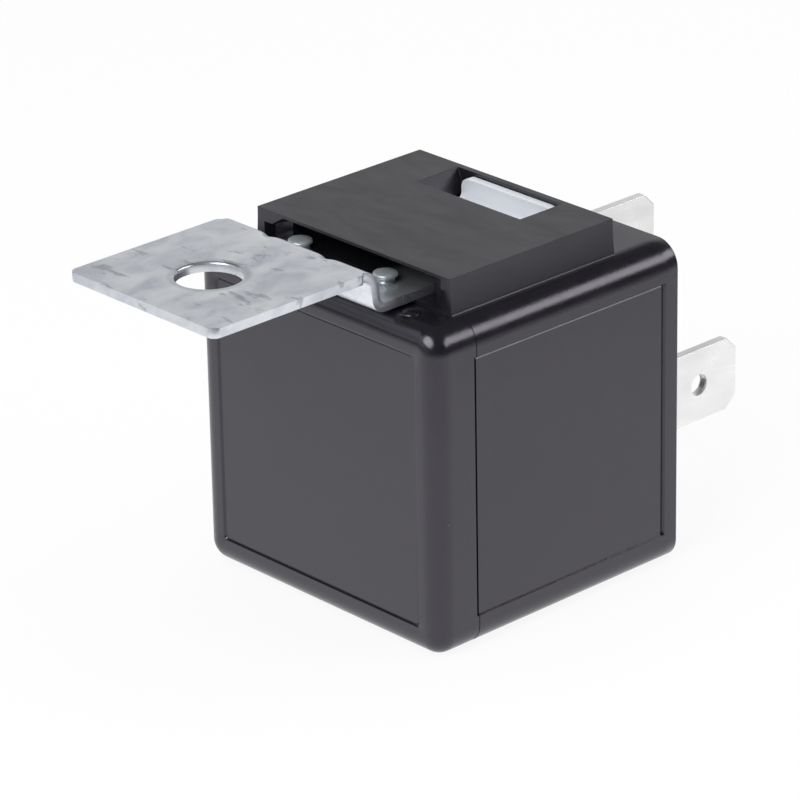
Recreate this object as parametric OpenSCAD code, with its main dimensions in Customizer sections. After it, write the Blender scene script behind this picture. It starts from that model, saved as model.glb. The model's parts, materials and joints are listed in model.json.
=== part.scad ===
// Plug-in automotive cube relay with one make contact, four blade terminals and a
// riveted sheet-metal mounting bracket. All lengths are in millimetres.
//
// The relay lies on its lower long side. +Z is up, towards the bracket. -Y is the
// closed front end of the cap and +Y the rear end, where the blades stand out.
// The origin is the centre of the face that it lies on. The contact is drawn open,
// as it is with no current in the coil.

/* [Cap] */
// Width of the cap across X
cap_w = 28; // [27:0.1:30]
// Height of the cap from its resting face to its top face
cap_h = 28; // [28:0.1:30]
// Depth of the cap from its closed front face to its rear rim
cap_d = 26.9; // [26.5:0.1:29]
// Thickness of the cap's walls
cap_wall = 1.2; // [0.9:0.05:1.4]
// Radius of the two long edges at the top
top_edge_r = 2.2; // [1:0.1:3]
// Radius of the two long edges at the bottom
low_edge_r = 1.8; // [0.6:0.1:2.2]
// Radius of the edges round the front face
front_edge_r = 1.6; // [0.6:0.1:2]
// Depth of the sunk panels on the front face and the side faces
panel_depth = 0.15; // [0.05:0.01:0.3]
// Margin round the sunk panels
panel_margin = 2.35; // [2:0.05:3.2]
// Distance from the front face to the line where the mould parts
seam_back = 4.2; // [3:0.1:8]

/* [Bracket pocket] */
// Width of the pocket block on top of the cap
pocket_w = 22.5; // [21.5:0.1:23]
// Sideways offset of the pocket block from the middle of the cap
pocket_shift = 0.85; // [0:0.05:1]
// Depth of the pocket block, front to rear
pocket_d = 17.9; // [16.5:0.1:18.5]
// Distance from the cap's front face back to the pocket's mouth
pocket_front = 3.55; // [3.3:0.05:4]
// Height of the pocket block above the cap's top face
pocket_h = 3.1; // [2.9:0.05:3.6]
// Height of the slot that takes the bracket
slot_h = 1.75; // [1.7:0.05:1.8]
// Width of the window in the pocket's roof
window_w = 12; // [10:0.1:13]
// Depth of the window in the pocket's roof
window_d = 4.65; // [4:0.05:6]
// Thickness of the wall behind the window
pocket_rear_wall = 0.6; // [0.5:0.05:1.2]

/* [Mounting bracket] */
// Thickness of the bracket's sheet
sheet_t = 0.8; // [0.6:0.05:0.9]
// Width of the mounting tab
tab_w = 17; // [15:0.1:18]
// Length of the tab from its free end to the start of its bend
tab_l = 15.4; // [13:0.1:20]
// Distance from the cap's front face out to the start of the bend
tab_start = 2.05; // [1.95:0.05:2.4]
// Height of the tab's upper face above the flange's upper face
tab_rise = 3.05; // [2.9:0.05:4.5]
// Radius of the tab's corners
tab_corner_r = 0.7; // [0.2:0.1:3]
// Diameter of the screw hole
tab_hole_d = 5.4; // [4:0.1:6.5]
// Distance from the tab's free end to the middle of the screw hole
tab_hole_y = 6.95; // [5:0.05:8]
// Width of the flange that slides into the pocket
flange_w = 16.3; // [14:0.1:16.4]
// Inner radius of the bend below the tab
upper_bend_r = 0.9; // [0.5:0.05:1.1]
// Inner radius of the bend above the flange
lower_bend_r = 0.5; // [0.3:0.05:0.8]
// Angle that both bends turn through
bend_angle = 82; // [75:1:90]
// Gap beside the end that is bent up in the window, on its -X side
catch_gap = 1.35; // [0.3:0.05:3]
// Distance between the two bracket rivets
rivet_pitch = 9.9; // [8:0.1:11]
// Head diameter of the bracket rivets
rivet_head_d = 2; // [1.6:0.05:2.2]
// Shank diameter of the bracket rivets
rivet_d = 1.1; // [0.8:0.05:1.3]
// Depth that the rivets go into the cap
rivet_depth = 1.8; // [1.2:0.1:2]

/* [Base] */
// Thickness of the base plate
base_t = 2.4; // [2:0.1:3]
// Distance that the base plate lies inside the cap's rim
base_recess = 0.4; // [0.1:0.05:1]
// Gap between the base plate and the cap's walls
base_gap = 0.06; // [0.02:0.01:0.15]
// Width of the step inside the cap that the base plate rests on
base_ledge = 0.4; // [0.2:0.05:0.6]

/* [Blades] */
// Width of each blade
blade_w = 6.4; // [6:0.05:6.6]
// Thickness of each blade
blade_t = 0.8; // [0.7:0.01:0.9]
// Length of the blades beyond the cap's rim
blade_reach = 11.3; // [9:0.1:13]
// Size of the chamfers at a blade's end
blade_chamfer = 1.1; // [0.4:0.1:1.6]
// Diameter of the hole in each blade
blade_hole_d = 1.8; // [1.2:0.1:2.2]
// Distance from a blade's end to its hole
blade_hole_y = 4.4; // [3:0.1:5.5]
// Distance between the two coil blades, middle to middle
coil_pitch = 19; // [18.6:0.1:20]
// Distance from the coil's axis down to the middle of the coil blades
coil_blade_drop = 2.25; // [1.5:0.05:3]
// Distance from the yoke's top down to the middle of the upright load blade
load_blade_drop = 2.2; // [2:0.05:2.4]
// Distance from the cap's mid-height down to the flat load blade
make_blade_drop = 8.9; // [8.7:0.05:9]
// Gap round a blade in its slot in the base
blade_gap = 0.04; // [0.02:0.01:0.1]

/* [Magnet system] */
// Room between the yoke and the cap's top wall
yoke_room = 1.8; // [1.2:0.05:2.2]
// Gap between the flat load blade's strip and the bobbin
strip_gap = 1.1; // [0.4:0.05:1.4]
// Diameter of the core
core_d = 6; // [5:0.1:6.6]
// Distance from the bobbin's edge in to the edge of the pole shoe
shoe_inset = 3.3; // [2.8:0.05:3.8]
// Thickness of the pole shoe
shoe_t = 1.2; // [0.8:0.1:1.5]
// Distance from the bobbin's edge in to the winding's outside
winding_inset = 0.4; // [0.3:0.05:2]
// Length of the winding
winding_l = 12.5; // [11:0.1:12.8]
// Thickness of the bobbin's tube and of its flanges
bobbin_t = 0.9; // [0.7:0.05:1]
// Gap between the bobbin and the yoke above it
bobbin_gap = 0.2; // [0.05:0.05:0.4]
// Thickness of the yoke
yoke_t = 2; // [1.6:0.1:2]
// Width of the yoke
yoke_w = 14; // [11.5:0.1:15]
// Diameter of the winding wire that is led to the blades
wire_d = 0.34; // [0.2:0.02:0.4]
// Turns of the wire round each blade's post
wire_turns = 3; // [2:1:4]

/* [Armature and contacts] */
// Thickness of the armature
armature_t = 1.6; // [1.2:0.1:1.8]
// Width of the armature
armature_w = 13; // [11:0.1:14]
// Angle that the armature stands open at rest, in degrees
open_angle = 2.6; // [2:0.1:3]
// Thickness of the contact spring
spring_t = 0.3; // [0.2:0.02:0.4]
// Width of the contact spring over the hinge
spring_w = 9; // [8.4:0.1:10]
// Width of the contact spring at the contact
spring_tip_w = 4.4; // [3.6:0.1:5]
// Diameter of the contact faces
contact_d = 3.2; // [2.4:0.1:3.4]
// Thickness of each contact's face
contact_t = 0.7; // [0.5:0.05:0.8]
// Gap between the armature's lower edge and the contacts
contact_drop = 0.8; // [0.5:0.05:1.2]

/* [Hidden] */
$fn = 48;
eps = 0.01;                 // overlap that fuses two pieces of one solid
slip = 0.03;                // clearance of a seated fit

// The cap and its pocket
cap_front = -cap_d / 2;
cap_rim = cap_d / 2;
inner_w = cap_w - 2 * cap_wall;
inner_front = cap_front + cap_wall + panel_depth;
seam_y = cap_front + seam_back;
pocket_y0 = cap_front + pocket_front;
pocket_y1 = pocket_y0 + pocket_d;
pocket_top = cap_h + pocket_h;
slot_w = flange_w + 0.3;
slot_mouth_w = flange_w + 2.3;
slot_floor = cap_h + 0.25;
slot_back = pocket_y1 - pocket_rear_wall;
gate_x = 9.3;               // the mark left by the mould's gate
gate_front = 1.6;
gate_r = 1.3;
gate_h = 0.3;
lug_l = 3.6;                // length of the base plate's snap lugs

// The bracket
flange_z = slot_floor + slip;
flange_top = flange_z + sheet_t;
tab_z = flange_top + tab_rise - sheet_t;
catch_back = slot_back - 0.1;
catch_h = pocket_top - flange_top - 0.3;
catch_r = 0.45;
catch_side = 0.15;          // gap beside the bent-up end on its +X side
catch_w = window_w - catch_gap - catch_side;
rivet_y = pocket_y0 - 0.25;
rivet_neck_h = 0.4;
rivet_head_h = 0.36;
rivet_chamfer = 0.12;       // bevel round a head's upper rim

// The base and the blades
base_out = cap_rim - base_recess;
base_in = base_out - base_t;
blade_end = cap_rim + blade_reach;

// Heights inside the cap, from the top wall down and from the flat blade up
inner_top = cap_h - cap_wall - base_ledge;
make_blade_z = cap_h / 2 - make_blade_drop;
yoke_top = inner_top - yoke_room;
yoke_low = yoke_top - yoke_t;
load_blade_z = yoke_top - load_blade_drop;
strip_top = make_blade_z + blade_t / 2;
bobbin_low = strip_top + strip_gap;
bobbin_h = yoke_low - bobbin_gap - bobbin_low;
coil_z = bobbin_low + bobbin_h / 2;
coil_blade_z = coil_z - coil_blade_drop;
winding_d = bobbin_h - 2 * winding_inset;
shoe_d = bobbin_h - 2 * shoe_inset;

// The magnet system, from the base forward
yoke_back = base_in - 0.15;
yoke_leg = yoke_back - yoke_t;
bobbin_back = yoke_leg - 0.1;
bobbin_front = bobbin_back - winding_l - 2 * bobbin_t;
pole_y = bobbin_front - 0.1 - shoe_t;
tube_r = core_d / 2 + 0.05;
yoke_foot = bobbin_low;
post_h = 2;                 // height of the coil blades' posts
yoke_slot_low = load_blade_z - blade_w / 2 + 0.5;
yoke_rivet_x = 2.8;         // sideways place of the yoke's rivets
yoke_rivet_d = 1.6;
yoke_rivet_back = 8;        // from the hinge to the middle of the rivets
yoke_rivet_y = pole_y + yoke_rivet_back;
spring_tail = 2.2;          // spring beyond the middle of the yoke's rivets
spigot_r = core_d / 2 - 0.6;

// The armature, in its closed place
hinge_y = pole_y;
hinge_z = yoke_top;
armature_out = pole_y - armature_t;
armature_low = coil_z - shoe_d / 2 - 0.3;
spring_out = armature_out - spring_t;
spring_bend_r = 1.2;
spring_window_w = 3.2;      // window between the two arms over the hinge
spring_window_l = 3.4;
contact_z = armature_low - contact_drop - contact_d / 2;
spring_low = contact_z - spring_tip_w / 2;
arm_rivet_x = 2.6;          // sideways place of the armature's rivets
arm_rivet_d = 1.6;
arm_rivet_head_d = 2.5;
arm_rivet_low = 1.5;        // places of the rivets below and above the coil's axis
arm_rivet_high = 3;
arm_taper_w = 2.2;          // bevel of the armature's lower corners
arm_taper_h = 3;
neck_h = 2;                 // height over which the spring narrows
neck_low = 0.6;             // part of it that lies below the armature
head_t = 0.45;              // height of the small rivets' heads
shank_out = 0.2;            // shank that stays inside the head
contact_face = armature_out + contact_t;
plate_front = contact_face + contact_t;
plate_back = plate_front + blade_t;

// ---------------------------------------------------------------- helpers

// A box given by its low and high corners.
module span(low, high) {
    translate(low) cube(high - low);
}

// A bar along Y with two radii at the top and two at the bottom.
module rounded_bar(w, h, r_top, r_low, y0, y1) {
    x_top = w / 2 - r_top;
    x_low = w / 2 - r_low;
    along_y(y0, y1) difference() {
        translate([-w / 2, 0]) square([w, h]);
        for (s = [-1, 1]) {
            corner_off([s * x_top, h - r_top], [s, 1], r_top);
            corner_off([s * x_low, r_low], [s, -1], r_low);
        }
    }
}

// What is taken off a square corner to round it: centre, quadrant and radius.
module corner_off(centre, quadrant, r) {
    translate(centre) difference() {
        scale([quadrant[0], quadrant[1]]) square(r + 1);
        circle(r);
    }
}

// Extrudes an outline drawn in X and Z along Y.
module along_y(y0, y1) {
    translate([0, y1, 0]) rotate([90, 0, 0]) linear_extrude(y1 - y0) children();
}

// A cylinder along Y.
module rod_y(r, y0, y1) {
    translate([0, y1, 0]) rotate([90, 0, 0]) cylinder(r = r, h = y1 - y0);
}

// A quarter-round strip that rounds a straight edge running along X.
module edge_off_x(y, z, quadrant, r, w) {
    rotate([90, 0, 90]) linear_extrude(w, center = true)
        corner_off([y, z], quadrant, r);
}

// Part of a round bend about the X axis: inner radius, angle and width.
module bend_x(r, angle, w) {
    rotate([90, 0, 90]) translate([0, 0, -w / 2])
        rotate_extrude(angle = angle) translate([r, 0]) square([sheet_t, w]);
}

// Turns its children to the armature's place at rest.
module as_open() {
    translate([0, hinge_y, hinge_z]) rotate([-open_angle, 0, 0])
        translate([0, -hinge_y, -hinge_z]) children();
}

// ---------------------------------------------------------------- cap

// The cap without its inside: rounded long edges, rounded front edges.
module cap_block() {
    r = front_edge_r;
    difference() {
        rounded_bar(cap_w, cap_h, top_edge_r, low_edge_r, cap_front, cap_rim);
        for (s = [-1, 1])
            linear_extrude(3 * cap_h, center = true)
                corner_off([s * (cap_w / 2 - r), cap_front + r], [s, -1], r);
        edge_off_x(cap_front + r, cap_h - r, [-1, 1], r, 2 * cap_w);
        edge_off_x(cap_front + r, r, [-1, -1], r, 2 * cap_w);
    }
}

// The hollow that holds the magnet system, open at the rear rim. It is narrower in
// front of the base plate, which rests on the step.
module cap_hollow() {
    step = base_in - slip;
    inner_bar(cap_wall + base_ledge, inner_front, step + eps);
    inner_bar(cap_wall, step, cap_rim + 1);
}

// A bar that lies inside the cap's outline by the same inset on every side.
module inner_bar(inset, y0, y1) {
    translate([0, 0, inset])
        rounded_bar(cap_w - 2 * inset, cap_h - 2 * inset,
            max(top_edge_r - inset, 0.4), max(low_edge_r - inset, 0.4), y0, y1);
}

// Shallow sunk panels: one on the front face, one on each side face.
module panels() {
    side = cap_w / 2 - panel_margin;
    span([-side, cap_front - 1, panel_margin],
        [side, cap_front + panel_depth, cap_h - panel_margin]);
    for (s = [-1, 1])
        translate([s * cap_w / 2, 0, 0])
            span([-panel_depth, seam_y, panel_margin + 0.4],
                [panel_depth, cap_rim - 1.5, cap_h - panel_margin - 0.75]);
}

// The block on the top face that takes the bracket's flange.
module pocket_block() {
    x0 = pocket_shift - pocket_w / 2;
    difference() {
        span([x0, pocket_y0, cap_h - cap_wall / 2],
            [x0 + pocket_w, pocket_y1, pocket_top]);
        pocket_slot();
        translate([pocket_shift - window_w / 2, slot_back - window_d, flange_z])
            cube([window_w, window_d, pocket_h]);
    }
}

// The slot for the flange, with a funnel mouth that also clears the rivet heads.
module pocket_slot() {
    funnel = 1;
    translate([0, 0, slot_floor]) linear_extrude(slot_h) polygon([
        [-slot_mouth_w / 2, pocket_y0 - eps], [slot_mouth_w / 2, pocket_y0 - eps],
        [slot_mouth_w / 2, pocket_y0 + funnel], [slot_w / 2, pocket_y0 + 2 * funnel],
        [slot_w / 2, slot_back], [-slot_w / 2, slot_back],
        [-slot_w / 2, pocket_y0 + 2 * funnel], [-slot_mouth_w / 2, pocket_y0 + funnel],
    ]);
}

// Thick spots under the top wall that the bracket rivets are driven into.
module rivet_bosses() {
    for (s = [-1, 1])
        translate([s * rivet_pitch / 2, rivet_y, cap_h - rivet_depth - 0.5])
            cylinder(r = rivet_d / 2 + 0.8, h = rivet_depth - cap_wall + 0.5 + eps);
}

// Blind holes for the bracket rivets.
module rivet_holes() {
    for (s = [-1, 1])
        translate([s * rivet_pitch / 2, rivet_y, cap_h - rivet_depth])
            cylinder(r = rivet_d / 2 + slip / 2, h = rivet_depth + 1);
}

// Two ribs inside the front wall that the armature rests against when it is open.
module rest_ribs() {
    rib_z = armature_low + 0.2;
    rib_h = 1;
    drop = hinge_z - rib_z;
    stop_y = hinge_y - (hinge_y - spring_out) * cos(open_angle)
        - drop * sin(open_angle) - 0.05;
    for (s = [-1, 1])
        translate([s * 2.4 - 0.6, inner_front - eps, rib_z])
            cube([1.2, stop_y - inner_front + eps, rib_h]);
}

// Grooves in the side walls that the base plate's lugs snap into.
module snap_grooves() {
    for (s = [-1, 1])
        translate([s * inner_w / 2, base_in + base_t / 2, 0])
            for (z = snap_heights())
                span([-0.5, -0.6, z - lug_l / 2 - 0.3], [0.5, 0.6, z + lug_l / 2 + 0.3]);
}

function snap_heights() = [cap_h * 0.25, cap_h * 0.75];

// A low dome beside the pocket's mouth, left by the gate of the mould.
module gate_mark() {
    intersection() {
        translate([gate_x, pocket_y0 - gate_front, cap_h - gate_r + gate_h])
            sphere(r = gate_r);
        translate([gate_x - gate_r, pocket_y0 - gate_front - gate_r, cap_h - cap_wall / 2])
            cube(2 * gate_r);
    }
}

module cap() {
    color([0.11, 0.11, 0.12]) difference() {
        union() {
            difference() {
                cap_block();
                cap_hollow();
                panels();
                snap_grooves();
            }
            pocket_block();
            rivet_bosses();
            rest_ribs();
            gate_mark();
        }
        rivet_holes();
    }
}

// ---------------------------------------------------------------- bracket

// The flat tab with rounded corners and its screw hole, bottom face at z = 0.
module tab_plate(y0, y1) {
    r = tab_corner_r;
    difference() {
        linear_extrude(sheet_t) difference() {
            translate([-tab_w / 2, y0]) square([tab_w, y1 - y0]);
            for (s = [-1, 1]) {
                corner_off([s * (tab_w / 2 - r), y0 + r], [s, -1], r);
                corner_off([s * (tab_w / 2 - r), y1 - r], [s, 1], r);
            }
        }
        translate([0, y0 + tab_hole_y, -1]) cylinder(r = tab_hole_d / 2, h = sheet_t + 2);
    }
}

// The step from the tab down to the flange: bend, riser, bend.
// It starts at y = 0 with its top face at z = 0 and goes down and to the rear.
module step_down(drop) {
    r1 = upper_bend_r;
    r2 = lower_bend_r;
    turned = (r1 + r2 + sheet_t) * (1 - cos(bend_angle));
    riser = (drop - turned) / sin(bend_angle);
    translate([0, 0, -r1 - sheet_t]) {
        rotate([90 - bend_angle, 0, 0]) bend_x(r1, bend_angle, flange_w);
        translate([0, r1 * sin(bend_angle), r1 * cos(bend_angle)])
            rotate([-bend_angle, 0, 0]) {
                translate([-flange_w / 2, 0, 0]) cube([flange_w, riser, sheet_t]);
                translate([0, riser, sheet_t + r2]) bend_up(r2, bend_angle);
            }
    }
}

// A bend that starts at its lowest point and turns up by an angle.
module bend_up(r, angle, w = flange_w) {
    rotate([-90, 0, 0]) bend_x(r, angle, w);
}

// Distance along Y that the step takes up.
function step_length() = let (
        r1 = upper_bend_r,
        r2 = lower_bend_r,
        both = r1 + r2 + sheet_t,
        riser = (tab_rise - both * (1 - cos(bend_angle))) / sin(bend_angle)
    ) both * sin(bend_angle) + riser * cos(bend_angle);

module mounting_bracket() {
    flange_end = catch_back - catch_r - sheet_t;
    bend_start = cap_front - tab_start;
    flange_start = bend_start + step_length();
    color([0.72, 0.74, 0.76]) difference() {
        union() {
            translate([0, 0, tab_z]) tab_plate(bend_start - tab_l, bend_start + eps);
            translate([0, bend_start, tab_z + sheet_t]) step_down(tab_rise);
            span([-flange_w / 2, flange_start - eps, flange_z],
                [flange_w / 2, flange_end, flange_top]);
            bracket_catch(flange_end - eps);
        }
        for (s = [-1, 1])
            translate([s * rivet_pitch / 2, rivet_y, flange_z - 1])
                cylinder(r = rivet_d / 2 + slip, h = sheet_t + 2);
    }
}

// The end of the flange, bent up in the window of the pocket.
module bracket_catch(y) {
    x = pocket_shift + window_w / 2 - catch_side - catch_w / 2;
    r = 0.8;
    translate([x, y, flange_top + catch_r]) {
        bend_up(catch_r, 90, catch_w);
        translate([0, catch_r + sheet_t, 0]) rotate([90, 0, 0])
            linear_extrude(sheet_t) difference() {
                translate([-catch_w / 2, -eps]) square([catch_w, catch_h - catch_r]);
                for (s = [-1, 1])
                    corner_off([s * (catch_w / 2 - r), catch_h - catch_r - eps - r], [s, 1], r);
            }
    }
}

// Flat-headed rivets on the flange, in the pocket's mouth. A short collar under each
// head presses on the flange.
module bracket_rivets() {
    head_z = flange_top + rivet_neck_h;
    color([0.7, 0.72, 0.74]) for (s = [-1, 1])
        translate([s * rivet_pitch / 2, rivet_y, 0]) {
            translate([0, 0, cap_h - rivet_depth + slip])
                cylinder(r = rivet_d / 2, h = head_z - cap_h + rivet_depth);
            translate([0, 0, flange_top])
                cylinder(r = rivet_d / 2 + 0.1, h = rivet_neck_h + eps);
            translate([0, 0, head_z]) rotate_extrude() rivet_head_profile();
        }
}

// Half of a rivet head's section: a disc with a bevelled upper rim.
module rivet_head_profile() {
    r = rivet_head_d / 2;
    c = rivet_chamfer;
    polygon([[0, 0], [r, 0], [r, rivet_head_h - c], [r - c, rivet_head_h], [0, rivet_head_h]]);
}

// ---------------------------------------------------------------- base

// The base plate with slots for the blades and two posts for the yoke.
module base() {
    inset = cap_wall + base_gap;
    color([0.14, 0.14, 0.15]) difference() {
        union() {
            inner_bar(inset, base_in, base_out);
            snap_lugs(cap_w - 2 * inset);
            yoke_posts();
            blade_islands();
        }
        blade_slots();
    }
}

// Lugs on the base plate's sides that hold it in the cap.
module snap_lugs(w) {
    y = base_in + base_t / 2;
    for (s = [-1, 1], z = snap_heights())
        translate([s * w / 2, y, z]) rotate([0, 0, 45])
            cube([0.5, 0.5, lug_l], center = true);
}

// Posts beside the yoke's leg.
module yoke_posts() {
    x = yoke_w / 2 + 0.05;
    for (s = [-1, 1])
        span([s > 0 ? x : -x - 0.9, yoke_leg + 0.2, coil_z + 2],
            [s > 0 ? x + 0.9 : -x, base_in + eps, yoke_top - 3]);
}

// Raised islands on the outer face, one round each blade.
module blade_islands() {
    rim = 1;
    at_blades() span([-blade_t / 2 - rim, base_out - eps, -blade_w / 2 - rim],
        [blade_t / 2 + rim, base_out + base_recess / 2, blade_w / 2 + rim]);
}

// Slots for the four blades.
module blade_slots() {
    g = blade_gap;
    at_blades() span([-blade_t / 2 - g, base_in - 1, -blade_w / 2 - g],
        [blade_t / 2 + g, cap_rim + 1, blade_w / 2 + g]);
}

// Puts its children at each blade, drawn for an upright blade at the origin.
module at_blades() {
    translate([0, 0, load_blade_z]) children();
    translate([0, 0, make_blade_z]) rotate([0, 90, 0]) children();
    for (s = [-1, 1]) translate([s * coil_pitch / 2, 0, coil_blade_z]) children();
}

// ---------------------------------------------------------------- terminals

// An upright blade at x = 0, z = 0 that runs from y0 to the blades' common end.
module blade(y0) {
    c = blade_chamfer;
    h = blade_w / 2;
    difference() {
        translate([-blade_t / 2, 0, 0]) rotate([90, 0, 90]) linear_extrude(blade_t)
            polygon([
                [y0, -h], [blade_end - c, -h], [blade_end, -h + c],
                [blade_end, h - c], [blade_end - c, h], [y0, h],
            ]);
        translate([-blade_t, blade_end - blade_hole_y, 0]) rotate([0, 90, 0])
            cylinder(r = blade_hole_d / 2, h = 2 * blade_t);
    }
}

// Common contact blade: its tongue is staked into a slot in the yoke's leg.
module terminal_30() {
    color([0.83, 0.83, 0.82]) {
        translate([0, 0, load_blade_z]) blade(base_in);
        span([-blade_t / 2, yoke_leg + slip, yoke_slot_low],
            [blade_t / 2, base_in + eps, yoke_top - slip]);
    }
}

// Make contact blade: it runs forward under the coil and is bent up in front of it.
module terminal_87() {
    r = 0.4;
    plate_top = contact_z + contact_d / 2 + 0.2;
    low = make_blade_z - blade_t / 2;
    color([0.83, 0.83, 0.82]) difference() {
        union() {
            translate([0, 0, make_blade_z]) rotate([0, 90, 0]) blade(plate_back + r);
            translate([0, plate_back + r, low + blade_t + r]) rotate([180, 0, 0])
                rotate([90, 0, 90]) translate([0, 0, -blade_w / 2])
                    rotate_extrude(angle = 90) translate([r, 0]) square([blade_t, blade_w]);
            span([-blade_w / 2, plate_front, low + blade_t + r - eps],
                [blade_w / 2, plate_back, plate_top]);
        }
        translate([0, 0, contact_z]) rod_y(contact_d / 4 + slip, plate_front - 1, plate_back + 1);
    }
}

// Coil blade with a post inside that the winding's wire is wrapped round.
module coil_terminal(side) {
    color([0.83, 0.83, 0.82])
        translate([side * coil_pitch / 2, 0, coil_blade_z]) {
            blade(base_in + 0.3);
            span([-blade_t / 2, post_start(), -post_h / 2],
                [blade_t / 2, base_in + 0.3 + eps, post_h / 2]);
        }
}

function post_start() = bobbin_back - bobbin_t;

module terminal_85() coil_terminal(1);

module terminal_86() coil_terminal(-1);

// ---------------------------------------------------------------- coil

module bobbin() {
    tube_out = tube_r + bobbin_t;
    r = 1.5;
    color([0.85, 0.83, 0.76]) difference() {
        translate([0, 0, coil_z]) {
            rod_y(tube_out, bobbin_front, bobbin_back);
            for (y = [bobbin_front, bobbin_back - bobbin_t])
                translate([0, 0, -bobbin_h / 2])
                    rounded_bar(bobbin_h, bobbin_h, r, r, y, y + bobbin_t);
        }
        translate([0, 0, coil_z]) rod_y(tube_r, bobbin_front - 1, bobbin_back + 1);
    }
}

// Enamelled copper winding with its two ends led out to the coil blades' posts.
module coil_winding() {
    y0 = bobbin_front + bobbin_t + slip;
    color([0.72, 0.36, 0.16]) {
        translate([0, 0, coil_z]) difference() {
            rod_y(winding_d / 2, y0, y0 + winding_l - 2 * slip);
            rod_y(tube_r + bobbin_t + slip, y0 - 1, y0 + winding_l + 1);
        }
        for (s = [-1, 1]) coil_lead(s);
    }
}

// One end of the winding: out past the bobbin, back to the post and round it.
module coil_lead(s) {
    ring_r = norm([blade_t, post_h]) / 2 + wire_d / 2 + 0.05;
    x = s * coil_pitch / 2;
    z = coil_blade_z - ring_r;
    start = sqrt(pow(winding_d / 2, 2) - pow(coil_z - z, 2)) - wire_d;
    y1 = bobbin_back - bobbin_t - 1;
    y2 = bobbin_back + 0.2;
    corner = [x, y1, z];
    wire(from = [s * start, y1, z], to = corner);
    wire(from = corner, to = [x, y2, z]);
    for (i = [0:wire_turns - 1])
        translate([x, y2 + i * wire_d * 0.9, coil_blade_z]) rotate([90, 0, 0])
            rotate_extrude() translate([ring_r, 0]) circle(wire_d / 2, $fn = 24);
}

// A straight stretch of wire with round ends.
module wire(from, to) {
    d = to - from;
    length = norm(d);
    translate(from) {
        rotate([0, acos(d[2] / length), atan2(d[1], d[0])])
            cylinder(r = wire_d / 2, h = length, $fn = 24);
        sphere(r = wire_d / 2, $fn = 24);
    }
    translate(to) sphere(r = wire_d / 2, $fn = 24);
}

// Tape round the winding.
module coil_tape() {
    y0 = bobbin_front + bobbin_t + 0.1;
    color([0.78, 0.62, 0.22]) translate([0, 0, coil_z]) difference() {
        rod_y(winding_d / 2 + 0.15, y0, y0 + winding_l - 2.2);
        rod_y(winding_d / 2 + 0.02, y0 - 1, y0 + winding_l);
    }
}

// ---------------------------------------------------------------- iron

// Core with its pole shoe in front and a spigot staked through the yoke's leg.
module core() {
    color([0.66, 0.67, 0.68]) translate([0, 0, coil_z]) {
        rod_y(shoe_d / 2, pole_y, pole_y + shoe_t);
        rod_y(core_d / 2, pole_y + shoe_t - eps, yoke_leg);
        rod_y(spigot_r, yoke_leg - eps, yoke_back);
    }
}

// L-shaped yoke: a long leg over the coil and a short leg behind it.
module yoke() {
    r = 0.8;
    color([0.6, 0.61, 0.63]) difference() {
        union() {
            span([-yoke_w / 2, pole_y, yoke_low], [yoke_w / 2, yoke_back, yoke_top]);
            span([-yoke_w / 2, yoke_leg, yoke_foot], [yoke_w / 2, yoke_back, yoke_low + eps]);
        }
        edge_off_x(yoke_back - r, yoke_top - r, [1, 1], r, yoke_w + 1);
        translate([0, 0, coil_z]) rod_y(spigot_r + slip, yoke_leg - 1, yoke_back + 1);
        span([-blade_t / 2 - slip, yoke_leg, yoke_slot_low - slip],
            [blade_t / 2 + slip, yoke_back + 1, yoke_top + 1]);
        yoke_rivet_holes();
    }
}

// Holes for the two rivets, through the yoke and the spring's short leg.
module yoke_rivet_holes() {
    for (s = [-1, 1])
        translate([s * yoke_rivet_x, yoke_rivet_y, yoke_low - 1])
            cylinder(r = yoke_rivet_d / 2 + slip, h = yoke_t + spring_t + 2);
}

// Rivets that fix the contact spring's short leg on the yoke.
module yoke_rivets() {
    color([0.75, 0.72, 0.6]) for (s = [-1, 1])
        translate([s * yoke_rivet_x, yoke_rivet_y, 0]) {
            translate([0, 0, yoke_low])
                cylinder(r = yoke_rivet_d / 2, h = yoke_t + spring_t + shank_out);
            translate([0, 0, yoke_top + spring_t])
                cylinder(r = yoke_rivet_d / 2 + head_t, h = head_t);
        }
}

// ---------------------------------------------------------------- armature

// Flat armature that tips about the yoke's front edge, narrower at its lower end.
module armature() {
    w = armature_w / 2;
    top = hinge_z - 0.15;
    r = spring_bend_r;
    tip = w - arm_taper_w;
    taper_top = armature_low + arm_taper_h;
    color([0.62, 0.63, 0.65]) as_open() difference() {
        along_y(armature_out, pole_y) polygon([
            [-w, top], [-w, taper_top], [-tip, armature_low],
            [tip, armature_low], [w, taper_top], [w, top],
        ]);
        edge_off_x(armature_out + r, top - r, [-1, 1], r, armature_w + 1);
        at_armature_rivets() rod_y(arm_rivet_d / 2 + slip, armature_out - 1, pole_y + 1);
    }
}

module at_armature_rivets() {
    for (s = [-1, 1], z = [coil_z - arm_rivet_low, coil_z + arm_rivet_high])
        translate([s * arm_rivet_x, 0, z]) children();
}

// Leaf spring riveted on the yoke and on the armature; it hinges the armature,
// pulls it open and carries the moving contact on its lower end.
module contact_spring() {
    color([0.78, 0.56, 0.3]) {
        difference() {
            span([-spring_w / 2, hinge_y - eps, hinge_z],
                [spring_w / 2, yoke_rivet_y + spring_tail, hinge_z + spring_t]);
            yoke_rivet_holes();
            spring_window();
        }
        as_open() difference() {
            union() {
                spring_corner();
                spring_blade();
            }
            at_armature_rivets()
                rod_y(arm_rivet_d / 2 + slip, spring_out - 1, armature_out + 1);
            translate([0, 0, contact_z])
                rod_y(contact_d / 4 + slip, spring_out - 1, armature_out + 1);
            spring_window();
        }
    }
}

// The window between the two arms that bend over the hinge.
module spring_window() {
    x = spring_window_w / 2;
    span([-x, spring_out - 1, hinge_z - spring_window_l],
        [x, hinge_y + spring_window_l, hinge_z + 1]);
}

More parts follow.
